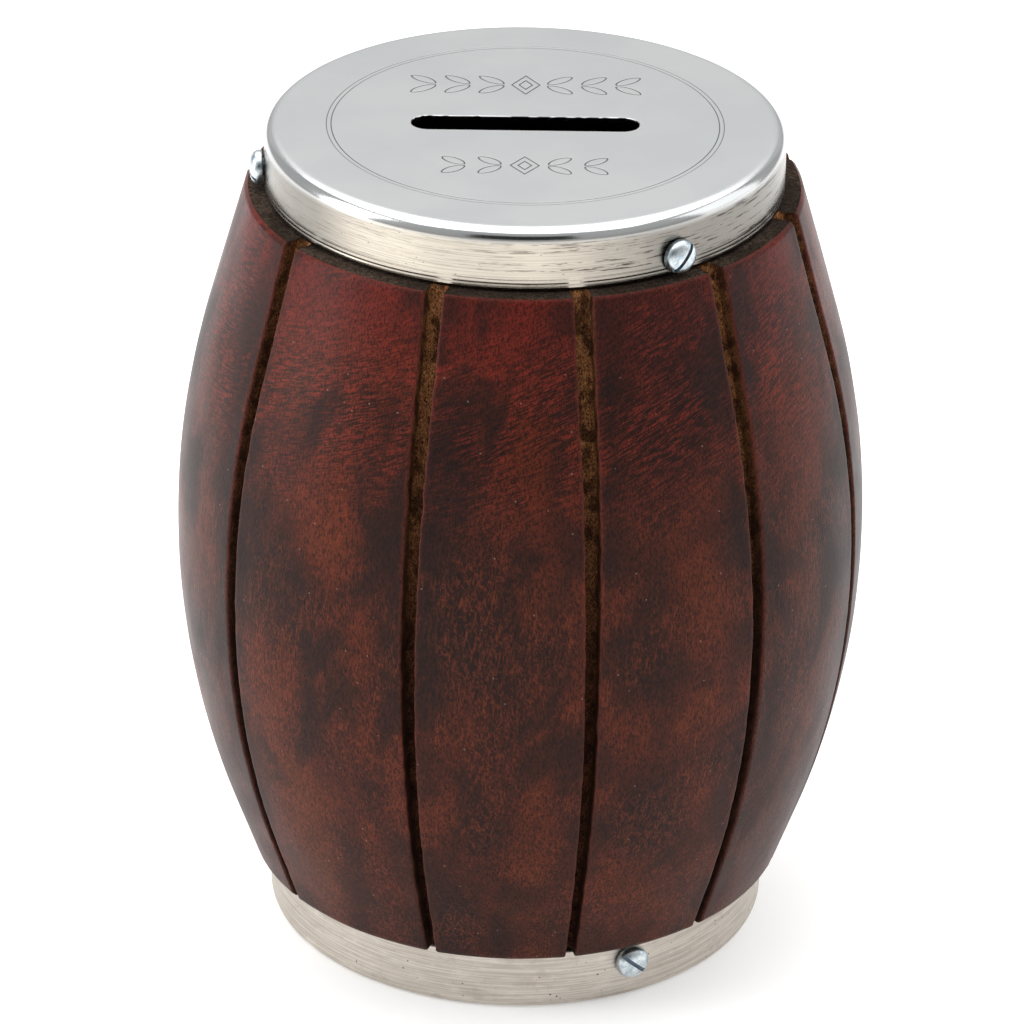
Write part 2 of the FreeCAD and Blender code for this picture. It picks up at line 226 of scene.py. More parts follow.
class Shader:
    """Builds a node material. Its methods return output sockets, and take sockets or plain values."""

    def __init__(self, name):
        self.material = bpy.data.materials.new(name)
        self.material.use_nodes = True
        self.tree = self.material.node_tree
        self.surface = self.tree.nodes["Principled BSDF"]
        where = self.tree.nodes.new("ShaderNodeTexCoord").outputs["Object"]
        self.place = self.stretch(where, (1 / MM, 1 / MM, 1 / MM))

    def put(self, socket, value):
        """Links another node's output to a socket, or sets it to a plain value."""
        if isinstance(value, bpy.types.NodeSocket):
            self.tree.links.new(value, socket)
        else:
            socket.default_value = value

    def stretch(self, vector, scale, turn=(0, 0, 0)):
        """Turns the coordinates by angles in degrees, and then scales them."""
        turned = self.tree.nodes.new("ShaderNodeMapping")
        turned.inputs["Rotation"].default_value = [math.radians(a) for a in turn]
        self.put(turned.inputs["Vector"], vector)
        scaled = self.tree.nodes.new("ShaderNodeVectorMath")
        scaled.operation = "MULTIPLY"
        self.put(scaled.inputs[0], turned.outputs[0])
        scaled.inputs[1].default_value = scale
        return scaled.outputs[0]

    def noise(self, scale, turn=(0, 0, 0), detail=3.0, roughness=0.55, warp=0.0, place=None):
        """Noise with so many features a millimetre along each axis."""
        node = self.tree.nodes.new("ShaderNodeTexNoise")
        node.inputs["Scale"].default_value = 1.0
        node.inputs["Detail"].default_value = detail
        node.inputs["Roughness"].default_value = roughness
        node.inputs["Distortion"].default_value = warp
        self.put(node.inputs["Vector"], self.stretch(place or self.place, scale, turn))
        return node.outputs["Fac"]

    def specks(self, scale, size):
        """Small round dots, 1 inside and 0 outside, in cells of a Voronoi pattern."""
        node = self.tree.nodes.new("ShaderNodeTexVoronoi")
        node.inputs["Scale"].default_value = 1.0
        self.put(node.inputs["Vector"], self.stretch(self.place, scale))
        return self.fade(node.outputs["Distance"], size, size * 0.5)

    def fade(self, value, low, high, to_low=0.0, to_high=1.0):
        """Goes from to_low to to_high as the value goes from low to high, smoothly and no further."""
        node = self.tree.nodes.new("ShaderNodeMapRange")
        node.interpolation_type = "SMOOTHSTEP"
        if low > high:
            low, high, to_low, to_high = high, low, to_high, to_low
        self.put(node.inputs["Value"], value)
        for name, number in (("From Min", low), ("From Max", high), ("To Min", to_low), ("To Max", to_high)):
            node.inputs[name].default_value = number
        return node.outputs["Result"]

    def calc(self, operation, first, second):
        """One of the Math node's operations."""
        node = self.tree.nodes.new("ShaderNodeMath")
        node.operation = operation
        self.put(node.inputs[0], first)
        self.put(node.inputs[1], second)
        return node.outputs[0]

    def mix(self, amount, first, second):
        """Colour that goes from first to second."""
        node = self.tree.nodes.new("ShaderNodeMix")
        node.data_type = "RGBA"
        self.put(node.inputs["Factor"], amount)
        for name, colour in (("A", first), ("B", second)):
            socket = next(s for s in node.inputs if s.name == name and s.type == "RGBA")
            self.put(socket, (*colour, 1.0) if isinstance(colour, tuple) else colour)
        return next(s for s in node.outputs if s.type == "RGBA")

    def attribute(self, name):
        """A number that add_mesh kept on the mesh's points."""
        node = self.tree.nodes.new("ShaderNodeAttribute")
        node.attribute_name = name
        return node.outputs["Fac"]

    def axis(self, name):
        """One coordinate of the place, in millimetres."""
        node = self.tree.nodes.new("ShaderNodeSeparateXYZ")
        self.put(node.inputs[0], self.place)
        return node.outputs[name]

    def brushed(self, along, across):
        """Noise in level lines round the Z axis, with so many features a millimetre along and across them."""
        x, y = self.axis("X"), self.axis("Y")
        angle = self.calc("ARCTAN2", x, y)
        reach = BRUSHED_RADIUS * along
        node = self.tree.nodes.new("ShaderNodeCombineXYZ")
        self.put(node.inputs[0], self.calc("MULTIPLY", self.calc("SINE", angle, 0.0), reach))
        self.put(node.inputs[1], self.calc("MULTIPLY", self.calc("COSINE", angle, 0.0), reach))
        self.put(node.inputs[2], self.calc("MULTIPLY", self.axis("Z"), across))
        return self.noise((1, 1, 1), detail=2.0, place=node.outputs[0])

    def bump(self, height, distance, strength=1.0, below=None):
        """Relief of a height from 0 to 1 over a distance in millimetres."""
        node = self.tree.nodes.new("ShaderNodeBump")
        node.inputs["Strength"].default_value = strength
        node.inputs["Distance"].default_value = distance * MM
        self.put(node.inputs["Height"], height)
        if below:
            self.put(node.inputs["Normal"], below)
        return node.outputs["Normal"]

    def finish(self, **sockets):
        """Sets the surface's sockets, named with _ for each space, and returns the material."""
        for name, value in sockets.items():
            socket = self.surface.inputs[name.replace("_", " ")]
            self.put(socket, (*value, 1.0) if isinstance(value, tuple) else value)
        return self.material


def brush_lines(s, near_top, rising, patches):
    """How red the fine lines are: brushed and rising near the top, short and curly further down."""
    curly = s.noise((1.5, 1.5, 0.75), turn=(0, 12, 0), detail=3.0, roughness=0.65, warp=1.2)
    upright = s.noise((2.0, 2.0, 0.30), turn=(0, -7, 0), detail=3.0, roughness=0.6, warp=0.4)
    curly_lines = s.fade(curly, 0.46, 0.64, 0.0, 0.8)
    low_lines = s.calc("MAXIMUM", curly_lines, s.fade(upright, 0.52, 0.66, 0.0, 0.9))
    lines = s.mix(near_top, low_lines, s.fade(rising, 0.44, 0.64))
    return s.calc("MULTIPLY", lines, s.fade(patches, 0.34, 0.56, 0.30, 1.0))


def stain(s, height, seam, near_top, rising, lines):
    """Colour of the stained faces: cloudy, browner low down, red in the lines and along the top."""
    clouds = s.noise((0.05, 0.05, 0.030), detail=3.0, warp=0.5)
    light = s.mix(s.fade(height, 10.0, 70.0), (0.066, 0.0142, 0.0068), (0.088, 0.0172, 0.0076))
    colour = s.mix(s.fade(clouds, 0.34, 0.64), (0.019, 0.0080, 0.0062), light)
    warmth = s.calc("MULTIPLY", s.fade(clouds, 0.50, 0.68), s.fade(height, 112.0, 74.0))
    warmth = s.calc("MULTIPLY", warmth, s.fade(seam, 0.2, 0.8, 0.0, 0.50))
    colour = s.mix(warmth, colour, (0.082, 0.0225, 0.0070))
    red = s.mix(near_top, (0.165, 0.036, 0.016), (0.21, 0.026, 0.017))
    colour = s.mix(s.calc("MULTIPLY", lines, 0.60), colour, red)
    brushed_dark = s.calc("MULTIPLY", s.fade(rising, 0.52, 0.36), near_top)
    colour = s.mix(s.calc("MULTIPLY", brushed_dark, 0.75), colour, (0.016, 0.007, 0.006))
    fresh = s.calc("MULTIPLY", s.fade(height, 112.0, 131.0), s.fade(clouds, 0.40, 0.55, 0.2, 0.75))
    return s.mix(fresh, colour, (0.120, 0.0135, 0.0095))


def grime(s, colour, height, seam, smoke, fibre, patches):
    """Dark stains, mostly beside the saw cuts, and dark fibres."""
    beside_cuts = s.calc("MULTIPLY", s.fade(seam, 0.75, 0.02, 0.0, 0.9), s.fade(patches, 0.62, 0.42))
    dusk = s.calc("MAXIMUM", s.fade(smoke, 0.50, 0.66), beside_cuts)
    dusk = s.calc("MULTIPLY", dusk, s.fade(height, 25.0, 80.0, 0.55, 0.82))
    colour = s.mix(dusk, colour, (0.0155, 0.0078, 0.0065))
    return s.mix(s.fade(fibre, 0.54, 0.38, 0.0, 0.70), colour, (0.010, 0.005, 0.004))


def pores_and_dust(s, colour, pores):
    colour = s.mix(s.calc("MULTIPLY", pores, 0.75), colour, (0.006, 0.003, 0.003))
    dust = s.specks((0.30, 0.30, 0.30), 0.055)
    return s.mix(s.calc("MULTIPLY", dust, 0.45), colour, (0.30, 0.22, 0.18))


def worn_edges(s, colour, height, fibre):
    """The sharp edges of the staves are rubbed red."""
    worn = s.calc("MULTIPLY", s.attribute("edge"), s.fade(fibre, 0.35, 0.62, 0.25, 0.85))
    worn = s.calc("MULTIPLY", worn, s.fade(height, 40.0, 105.0, 0.35, 1.0))
    return s.mix(worn, colour, (0.125, 0.026, 0.017))


def saw_cut(s, height, splinter):
    """Colour of the rough saw cuts: dry wood, lighter near the top, with painted shade darkening the walls.
    """
    crumbs = s.noise((0.5, 0.5, 0.35), detail=3.0)
    dry = s.mix(s.fade(height, 62.0, 126.0), (0.135, 0.052, 0.026), (0.66, 0.285, 0.112))
    dry = s.mix(s.fade(crumbs, 0.56, 0.40, 0.0, 0.75), dry, (0.030, 0.014, 0.009))
    saw = s.mix(s.fade(splinter, 0.36, 0.68), (0.012, 0.006, 0.0045), dry)
    # painted shade: the cut's walls are darker than its floor
    return s.mix(s.fade(s.attribute("kerf"), 0.95, 0.62, 0.0, 0.6), saw, (0.020, 0.008, 0.005))


def end_grain(s, patches):
    """Colour of the turned shoulders and of the necks, where the wood is bare."""
    turned = s.noise((2.3, 2.3, 2.3), detail=4.0, roughness=0.75)
    colour = s.mix(s.fade(turned, 0.34, 0.74), (0.028, 0.020, 0.015), (0.150, 0.110, 0.085))
    return s.mix(s.fade(patches, 0.58, 0.42, 0.0, 0.55), colour, (0.018, 0.012, 0.009))


def stained_wood():
    """Dark mahogany stain under a thin varnish, with raw saw cuts and end grain."""
    s = Shader("stained_wood")
    seam = s.attribute("seam")
    height = s.axis("Z")
    near_top = s.fade(height, 84.0, 112.0)
    smoke = s.noise((0.09, 0.09, 0.05), turn=(0, -20, 0), detail=4.0, warp=0.4)
    rising = s.noise((0.42, 0.42, 3.4), turn=(0, 24, 0), detail=3.0, roughness=0.65, warp=0.3)
    fibre = s.noise((3.4, 3.4, 1.2), detail=2.0, roughness=0.7)
    patches = s.noise((0.11, 0.11, 0.08), detail=3.0)
    splinter = s.noise((4.4, 4.4, 2.4), detail=4.0, roughness=0.8, warp=0.8)
    pores = s.specks((1.2, 1.2, 0.6), 0.15)

    lines = brush_lines(s, near_top, rising, patches)
    colour = stain(s, height, seam, near_top, rising, lines)
    colour = grime(s, colour, height, seam, smoke, fibre, patches)
    colour = pores_and_dust(s, colour, pores)
    colour = worn_edges(s, colour, height, fibre)
    colour = s.mix(s.fade(s.attribute("kerf"), 0.05, 0.5), colour, saw_cut(s, height, splinter))
    colour = s.mix(s.attribute("end_grain"), colour, end_grain(s, patches))

    raw = s.calc("MAXIMUM", s.attribute("kerf"), s.attribute("end_grain"))
    gloss = s.calc("ADD", s.fade(smoke, 0.3, 0.7, 0.34, 0.42), s.calc("MULTIPLY", raw, 0.45))
    shine = s.calc("SUBTRACT", 0.085, s.calc("MULTIPLY", raw, 0.07))
    relief = s.bump(s.calc("ADD", fibre, s.calc("MULTIPLY", lines, 0.6)), 0.06, 0.30)
    relief = s.bump(s.calc("SUBTRACT", 1.0, pores), 0.10, 0.5, below=relief)
    relief = s.bump(s.calc("MULTIPLY", splinter, raw), 0.4, 1.0, below=relief)
    return s.finish(Base_Color=colour, Roughness=gloss, Specular_IOR_Level=shine, Normal=relief)


def skirt_colour(s, lines):
    """Colour round the top cap's skirt: a painted reflection that is bright in places and dark at the sides,
    tarnished in the brush lines, and pitted.
    """
    # painted reflection: the skirt is painted brightest a little left of the front, and again at the back,
    # where it stands in for lights mirrored in the metal
    facing = s.calc("ADD", s.calc("MULTIPLY", s.axis("X"), -0.2), s.calc("MULTIPLY", s.axis("Y"), -1.0))
    painted_reflection = s.calc("MAXIMUM", s.fade(facing, 32.0, 42.0), s.fade(facing, -22.0, -38.0, 0.0, 0.8))
    bands = s.noise((0.05, 0.05, 0.02), detail=2.0)
    painted_reflection = s.calc("ADD", s.calc("MULTIPLY", painted_reflection, 0.9), s.fade(bands, 0.35, 0.65, -0.10, 0.10))
    # painted reflection: this mix paints the skirt bright where it would mirror the lights and dark elsewhere
    colour = s.mix(painted_reflection, (0.215, 0.204, 0.186), (0.61, 0.55, 0.465))
    colour = s.mix(s.fade(lines, 0.60, 0.36, 0.0, 0.34), colour, (0.20, 0.18, 0.15))
    # dark streaks and pits, mostly on the right
    to_right = s.fade(s.axis("X"), -12.0, 18.0, 0.25, 1.0)
    streaks = s.noise((0.30, 0.30, 2.6), detail=3.0, roughness=0.6)
    long_lines = s.brushed(0.03, 2.2)
    tarnish = s.calc("MULTIPLY", s.fade(long_lines, 0.50, 0.60), s.fade(streaks, 0.46, 0.58))
    colour = s.mix(s.calc("MULTIPLY", tarnish, to_right), colour, (0.055, 0.043, 0.036))
    pitted = s.fade(s.noise((0.12, 0.12, 0.3)), 0.50, 0.60)
    pits = s.calc("MULTIPLY", s.specks((0.9, 0.9, 1.4), 0.14), pitted)
    return s.mix(pits, colour, (0.03, 0.025, 0.02))


def top_metal():
    """Nickel-silver sheet: satin on the flat, brushed round the skirt under a painted reflection, dark in the
    engraving, and with painted shade on the coin slot's wall.
    """
    s = Shader("top_metal")
    skirt = s.attribute("skirt")
    grit = s.noise((2.2, 2.2, 2.2), detail=2.0)
    lines = s.brushed(0.05, 5.0)
    cloud = s.noise((0.05, 0.05, 0.05), detail=3.0)
    flat_colour = s.mix(s.fade(cloud, 0.35, 0.65), (0.60, 0.615, 0.62), (0.64, 0.655, 0.655))
    colour = s.mix(skirt, flat_colour, skirt_colour(s, lines))
    # dark in the engraving, and painted shade on the coin slot's wall
    colour = s.mix(s.fade(s.attribute("engraved"), 0.0, 0.55, 0.0, 0.95), colour, (0.05, 0.05, 0.05))
    # the rounded edge is polished, the flat is satin and the skirt is brushed
    below_flat = s.fade(s.axis("Z"), TOP_FACE - 0.06, TOP_FACE - 0.4)
    rounded = s.calc("MULTIPLY", below_flat, s.fade(skirt, 0.9, 0.3))
    gloss = s.calc("SUBTRACT", s.fade(skirt, 0.0, 1.0, 0.36, 0.26), s.calc("MULTIPLY", rounded, 0.20))
    relief = s.bump(s.calc("MULTIPLY", lines, skirt), 0.035, 0.6)
    relief = s.bump(grit, 0.01, 0.25, below=relief)
    return s.finish(Base_Color=colour, Metallic=1.0, Roughness=gloss, Normal=relief)


def base_metal():
    """Dull nickel-silver sheet with level brush lines and specks of tarnish."""
    s = Shader("base_metal")
    grit = s.noise((2.6, 2.6, 2.6), detail=2.0)
    lines = s.brushed(0.08, 4.0)
    mottle = s.noise((0.25, 0.25, 0.4), detail=4.0, roughness=0.65)
    colour = s.mix(s.fade(lines, 0.35, 0.65), (0.44, 0.395, 0.345), (0.59, 0.54, 0.48))
    colour = s.mix(s.fade(mottle, 0.52, 0.72, 0.0, 0.35), colour, (0.70, 0.66, 0.60))
    colour = s.mix(s.fade(mottle, 0.46, 0.32, 0.0, 0.35), colour, (0.34, 0.29, 0.24))
    tarnished = s.fade(s.noise((0.13, 0.13, 0.3)), 0.55, 0.62)
    specks = s.calc("MULTIPLY", s.specks((0.9, 0.9, 1.1), 0.20), tarnished)
    colour = s.mix(specks, colour, (0.05, 0.04, 0.03))
    relief = s.bump(s.calc("ADD", lines, s.calc("MULTIPLY", grit, 0.5)), 0.03, 0.6)
    return s.finish(Base_Color=colour, Metallic=1.0, Roughness=0.42, Normal=relief)


def screw_zinc():
    """Bright zinc plate, scratched by the screwdriver, with painted shade on the floor of its driver slot."""
    s = Shader("screw_zinc")
    scuff = s.noise((1.4, 1.4, 6.0), turn=(20, 35, 0), detail=3.0)
    cloud = s.noise((0.8, 0.8, 0.8), detail=3.0)
    colour = s.mix(s.fade(cloud, 0.35, 0.65), (0.42, 0.50, 0.55), (0.66, 0.71, 0.72))
    colour = s.mix(s.calc("MULTIPLY", s.fade(scuff, 0.54, 0.68), 0.6), colour, (0.24, 0.27, 0.30))
    # painted shade: the floor of the driver slot is darkened
    colour = s.mix(s.calc("MULTIPLY", s.attribute("painted_slot_shade"), 0.9), colour, (0.05, 0.075, 0.11))
    gloss = s.fade(scuff, 0.3, 0.7, 0.26, 0.42)
    return s.finish(Base_Color=colour, Metallic=1.0, Roughness=gloss, Normal=s.bump(scuff, 0.04, 0.4))


# ---------------------------------------------------------------------------------------------- barrel


def side_radius(height):
    """Radius of the barrel's side: a belly arc with a straight flank tangent to it at each end."""
    centre = (BELLY_RADIUS - BELLY_ARC_RADIUS, BELLY_HEIGHT)
    up = height > BELLY_HEIGHT
    end = (TOP_RADIUS, SHOULDER_TOP) if up else (BOTTOM_RADIUS, SHOULDER_BOTTOM)
    across, rise = end[0] - centre[0], end[1] - centre[1]
    turn = math.acos(BELLY_ARC_RADIUS / math.hypot(across, rise))
    angle = math.atan2(rise, across) - (turn if up else -turn)
    touch = (centre[0] + BELLY_ARC_RADIUS * math.cos(angle), centre[1] + BELLY_ARC_RADIUS * math.sin(angle))
    if abs(height - BELLY_HEIGHT) < abs(touch[1] - BELLY_HEIGHT):
        return centre[0] + math.sqrt(BELLY_ARC_RADIUS**2 - (height - BELLY_HEIGHT) ** 2)
    return end[0] + (touch[0] - end[0]) * (height - end[1]) / (touch[1] - end[1])


def kerf_outline():
    """Half of a saw cut's section, from the stave's face in: (distance from the wall, depth, worn edge)."""
    half = [(EDGE_ROUNDING * 2.4, 0.0, 0.0), (EDGE_ROUNDING * 1.5, 0.0, 0.1)]
    for x, y in arc((0, 0), EDGE_ROUNDING, 90, 0, 4):
        half.append((EDGE_ROUNDING - x, EDGE_ROUNDING - y, 0.3 + 0.7 * x / EDGE_ROUNDING))
    half += [(0.0, depth, 0.0) for depth in (0.9, 1.5, 2.1)]
    half += [(-0.04, 2.7, 0.0), (-0.35, KERF_DEPTH, 0.0)]
    return half


def kerf_points(k, height, share, radius, outline):
    """Points across one saw cut at one height, each (angle in radians, radius, worn edge, saw cut).

    share goes from 0 at the bottom of the side to 1 at its top, and radius is the side's there.
    """
    half_width = 0.5 * (KERF_WIDTHS[0] + (KERF_WIDTHS[1] - KERF_WIDTHS[0]) * share)
    # the cut wanders slowly, and its walls are ragged at three scales, most of all near the top
    middle = 0.18 * noise.noise((height * 0.03, k * 7.3, 0.0))
    cut = []
    for side in (-1, 1):
        ragged = 0.16 * noise.noise((height * 0.30, k * 3.1, side)) - KERF_INSET
        ragged += 0.12 * noise.noise((height * 0.9, k * 1.7, side)) * (0.4 + 0.6 * share)
        ragged += 0.05 * noise.noise((height * 2.6, k * 2.3, side))
        wall = middle + side * (half_width + ragged)
        points = []
        for away, depth, edge in outline:
            # the attribute is 0.6 on the walls and 1 on the floor
            sawn = min(depth / KERF_ROUGH_DEPTH, 1.0) * 0.6 + 0.4 * (depth > 2.5)
            points.append((wall + side * away, depth, edge, sawn))
        cut += points if side < 0 else [(middle, KERF_DEPTH, 0.0, 1.0)] + points[::-1]
    # the walls and floor of the cut are rough, and the stave's face never is
    placed = []
    for shift, depth, edge, sawn in cut:
        rough = 0.28 * noise.noise((shift * 1.3 + k * 11, height * 0.9, depth))
        deep = min(depth + sawn * (rough if depth > KERF_ROUGH_DEPTH else 0.0), KERF_DEPTH + 0.3)
        angle = math.radians(KERFS[k]) + math.asin(shift / (radius - deep))
        placed.append((angle, radius - deep, edge, sawn))
    return placed


def side_row(height, outline):
    """Angles, radii, worn edge, saw cut and distance from the seams, round the side at one height."""
    share = (height - SHOULDER_BOTTOM) / (SHOULDER_TOP - SHOULDER_BOTTOM)
    radius = side_radius(height)
    cuts = [kerf_points(k, height, share, radius, outline) for k in range(len(KERFS))]
    row = []
    for k, cut in enumerate(cuts):
        row += [(*point, 0.0) for point in cut]
        start = cut[-1][0]
        end = cuts[(k + 1) % len(cuts)][0][0] + (math.tau if k == len(cuts) - 1 else 0.0)
        for i in range(1, STAVE_STEPS):
            angle = start + (end - start) * i / STAVE_STEPS
            dent = noise.noise((math.sin(angle) * 7, math.cos(angle) * 7, height * 0.12))
            from_seam = min(1.0, min(i, STAVE_STEPS - i) / STAVE_STEPS * 2.4)
            row.append((angle, radius - FACE_WAVE - FACE_WAVE * dent, 0.0, 0.0, from_seam))
    return np.array(row).T


class BarrelSkin:
    """The closed skin of the barrel, built up in rows of points."""

    def __init__(self):
        self.points = []
        self.values = {"edge": [], "kerf": [], "seam": [], "end_grain": []}

    def add_row(self, angles, radii, heights, **values):
        """Adds a row. Attributes that aren't given are 0."""
        for angle, reach, z in zip(angles, radii, np.broadcast_to(heights, len(angles))):
            self.points.append((reach * math.sin(angle), -reach * math.cos(angle), z))
        for key, numbers in self.values.items():
            numbers.extend(np.broadcast_to(values.get(key, 0.0), len(angles)))

    def add_ring(self, angles, radius, height):
        """A plain round row of bare wood."""
        self.add_row(angles, [radius] * len(angles), height, end_grain=1.0)

    def add_ledge(self, row, level, neck, upwards):
        """The shoulder, from its outer edge in to the neck, or out from the neck."""
        angles, radii, _, sawn, seam = row
        inner = radii - EDGE_ROUNDING
        shares = (0.0, 0.25, 0.5, 0.75, 1.0)
        for share in shares if upwards else shares[::-1]:
            chip = [0.12 * noise.noise((math.sin(a) * 60, math.cos(a) * 60, share * 3)) for a in angles]
            lift = np.array(chip) * (share < 1.0)
            height = level - 0.08 + lift if upwards else level + 0.08 + lift
            reach = inner + (neck - inner) * share
            self.add_row(angles, reach, height, kerf=sawn * 0.5, seam=seam, end_grain=1.0)

    def add_side(self, outline):
        for height in spread(SHOULDER_BOTTOM, SHOULDER_TOP, SIDE_STEPS):
            angles, radii, edge, sawn, seam = side_row(height, outline)
            from_end = min(height - SHOULDER_BOTTOM, SHOULDER_TOP - height)
            if from_end < EDGE_ROUNDING:
                lost = 1 - math.sqrt(1 - (1 - from_end / EDGE_ROUNDING) ** 2)
                radii = radii - EDGE_ROUNDING * lost
                edge = np.maximum(edge, 0.8 * lost)
            self.add_row(angles, radii, height, edge=edge, kerf=sawn, seam=seam)


def make_barrel(material):
    """The whole barrel, as rows that run down the bore and then up the outside."""
    outline = kerf_outline()
    base_neck = BASE_CAP_RADIUS - SHEET - NECK_CLEARANCE
    top_neck = TOP_CAP_RADIUS - SHEET - NECK_CLEARANCE
    low_row, high_row = side_row(SHOULDER_BOTTOM, outline), side_row(SHOULDER_TOP, outline)
    low_angles, high_angles = low_row[0], high_row[0]

    skin = BarrelSkin()
    for height in spread(NECK_TOP, NECK_BOTTOM, 12):
        share = (height - NECK_BOTTOM) / (NECK_TOP - NECK_BOTTOM)
        skin.add_ring(low_angles + (high_angles - low_angles) * share, BORE_RADIUS, height)
    skin.add_ring(low_angles, base_neck - NECK_CHAMFERS[0], NECK_BOTTOM)
    skin.add_ring(low_angles, base_neck, NECK_BOTTOM + NECK_CHAMFERS[0])
    skin.add_ledge(low_row, SHOULDER_BOTTOM, base_neck, upwards=False)
    skin.add_side(outline)
    skin.add_ledge(high_row, SHOULDER_TOP, top_neck, upwards=True)
    skin.add_ring(high_angles, top_neck, NECK_TOP - NECK_CHAMFERS[1])
    skin.add_ring(high_angles, top_neck - NECK_CHAMFERS[1], NECK_TOP)

    columns = len(low_angles)
    faces = loop_faces(len(skin.points) // columns, columns, closed_rows=True)
    return add_mesh("turned_barrel", skin.points, faces, material, sharp=50.0, **skin.values)


# ---------------------------------------------------------------------------------------------- caps


def circle(radius):
    angles = [math.tau * j / ROUND for j in range(ROUND)]
    return [(radius * math.cos(a), radius * math.sin(a)) for a in angles]


def slot_outline(grow):
    """The coin slot, cut by hand and so a little uneven, grown outwards by a distance."""
    count = 36  # points along each long side
    half, end = (SLOT_LENGTH - SLOT_WIDTH) / 2, SLOT_WIDTH / 2 + grow
    outline = arc((half, 0), end, -90, 90, count // 2)
    outline += [(x, end) for x in spread(half, -half, count)[1:-1]]
    outline += arc((-half, 0), end, 90, 270, count // 2)
    outline += [(x, -end) for x in spread(-half, half, count)[1:-1]]
    uneven = []
    for x, y in outline:
        wave = 0.06 * noise.noise((x * 0.3, y, 3.0)) + 0.015 * noise.noise((x * 1.1, y, 8.0)) - 0.02
        uneven.append((x, y - math.copysign(wave, y) if y else y))
    return uneven


def leaf(centre, length, width, tilt):
    """A pointed oval outline, tilted by an angle in degrees."""
    steps = 14  # along each side of the leaf
    cosine, sine = math.cos(math.radians(tilt)), math.sin(math.radians(tilt))
    upper = [(-math.cos(math.pi * i / steps), math.sin(math.pi * i / steps) ** 1.3) for i in range(steps + 1)]
    points = []
    for x, y in upper + [(x, -y) for x, y in upper[-2:0:-1]]:
        along, across = x * length / 2, y * width / 2
        x, y = along * cosine - across * sine, along * sine + across * cosine
        points.append((centre[0] + x, centre[1] + y))
    return points


def lozenge(centre, width, height):
    x, y = centre
    return [(x - width / 2, y), (x, y + height / 2), (x + width / 2, y), (x, y - height / 2)]


def ornament():
    """Closed outlines of the engraved marks: a row of leaves behind the slot and a shorter one before it."""
    leaf_width, leaf_tilt, first_pair = 1.9, 38, 5.6
    marks = []
    for middle, height, pairs, spacing in ((15.8, 7.6, 3, 5.6), (-16.8, 6.8, 2, 5.8)):
        marks.append(lozenge((0.0, middle), 4.6, height))
        marks.append(lozenge((0.0, middle), 2.2, height * 0.48))
        for side in (-1, 1):
            for i in range(pairs):
                x = side * (first_pair + spacing * i)
                for end in (1, -1):
                    place = (x, middle + end * height * 0.25)
                    marks.append(leaf(place, height * 0.66, leaf_width, end * side * leaf_tilt))
    return marks


def to_segments(x, y, starts, ends):
    """Distance from each point to the nearest of the line segments."""
    best = np.full(len(x), 1e9)
    for (ax, ay), (bx, by) in zip(starts, ends):
        dx, dy = bx - ax, by - ay
        along = np.clip(((x - ax) * dx + (y - ay) * dy) / (dx * dx + dy * dy), 0, 1)
        best = np.minimum(best, np.hypot(x - ax - along * dx, y - ay - along * dy))
    return best


def offset_outline(outline, distance):
    """A closed outline moved sideways by a distance, with mitred corners."""
    moved = []
    count = len(outline)
    for i, (x, y) in enumerate(outline):
        before, after = outline[i - 1], outline[(i + 1) % count]
        first = Vector((x - before[0], y - before[1])).normalized()
        second = Vector((after[0] - x, after[1] - y)).normalized()
        normal = Vector((-first.y - second.y, first.x + second.x))
        normal = normal.normalized() if normal.length > 0.1 else Vector((-first.y, first.x))
        reach = distance / max(0.35, normal.dot(Vector((-first.y, first.x))))
        moved.append((x + normal.x * reach, y + normal.y * reach))
    return moved


def flat_sheet(outlines, hole):
    """Triangles inside the first outline and outside the hole, with edges along every outline."""
    points, edges = [], []
    for outline in [*outlines, hole]:
        first = len(points)
        points += [Vector(p) for p in outline]
        edges += [(first + i, first + (i + 1) % len(outline)) for i in range(len(outline))]
    found, _, triangles, *_ = delaunay_2d_cdt(points, edges, [], 0, 1e-5)
    x = np.array([p.x for p in found])
    y = np.array([p.y for p in found])
    keep = [t for t in triangles if not inside(hole, x[list(t)].mean(), y[list(t)].mean())]
    return x, y, [tuple(t) for t in keep]


def inside(outline, x, y):
    """Whether a closed outline goes round a point."""
    crossings = 0
    for (ax, ay), (bx, by) in zip(outline, outline[1:] + outline[:1]):
        if (ay > y) != (by > y) and x < ax + (y - ay) / (by - ay) * (bx - ax):
            crossings += 1
    return crossings % 2 == 1


def skirt_section():
    """Outer section of the top cap's skirt from its rounded edge down, with two turned lines near the rim."""
    edge = arc((TOP_CAP_RADIUS - TOP_EDGE, TOP_FACE - TOP_EDGE), TOP_EDGE, 90, 0, 14)
    lines = []
    for level, depth in ((TOP_RIM + 1.55, 0.03), (TOP_RIM + 0.85, 0.05)):
        for rise, cut in ((0.28, 0.0), (0.12, 0.6), (0.0, 1.0), (-0.12, 0.6), (-0.28, 0.0)):
            lines.append((TOP_CAP_RADIUS - depth * cut, level + rise))
    straight = [(TOP_CAP_RADIUS, z) for z in spread(TOP_FACE - TOP_EDGE - 0.4, TOP_RIM + 2.2, 8)]
    return edge + straight + lines + [(TOP_CAP_RADIUS, TOP_RIM + 0.25), (TOP_CAP_RADIUS - 0.2, TOP_RIM)]


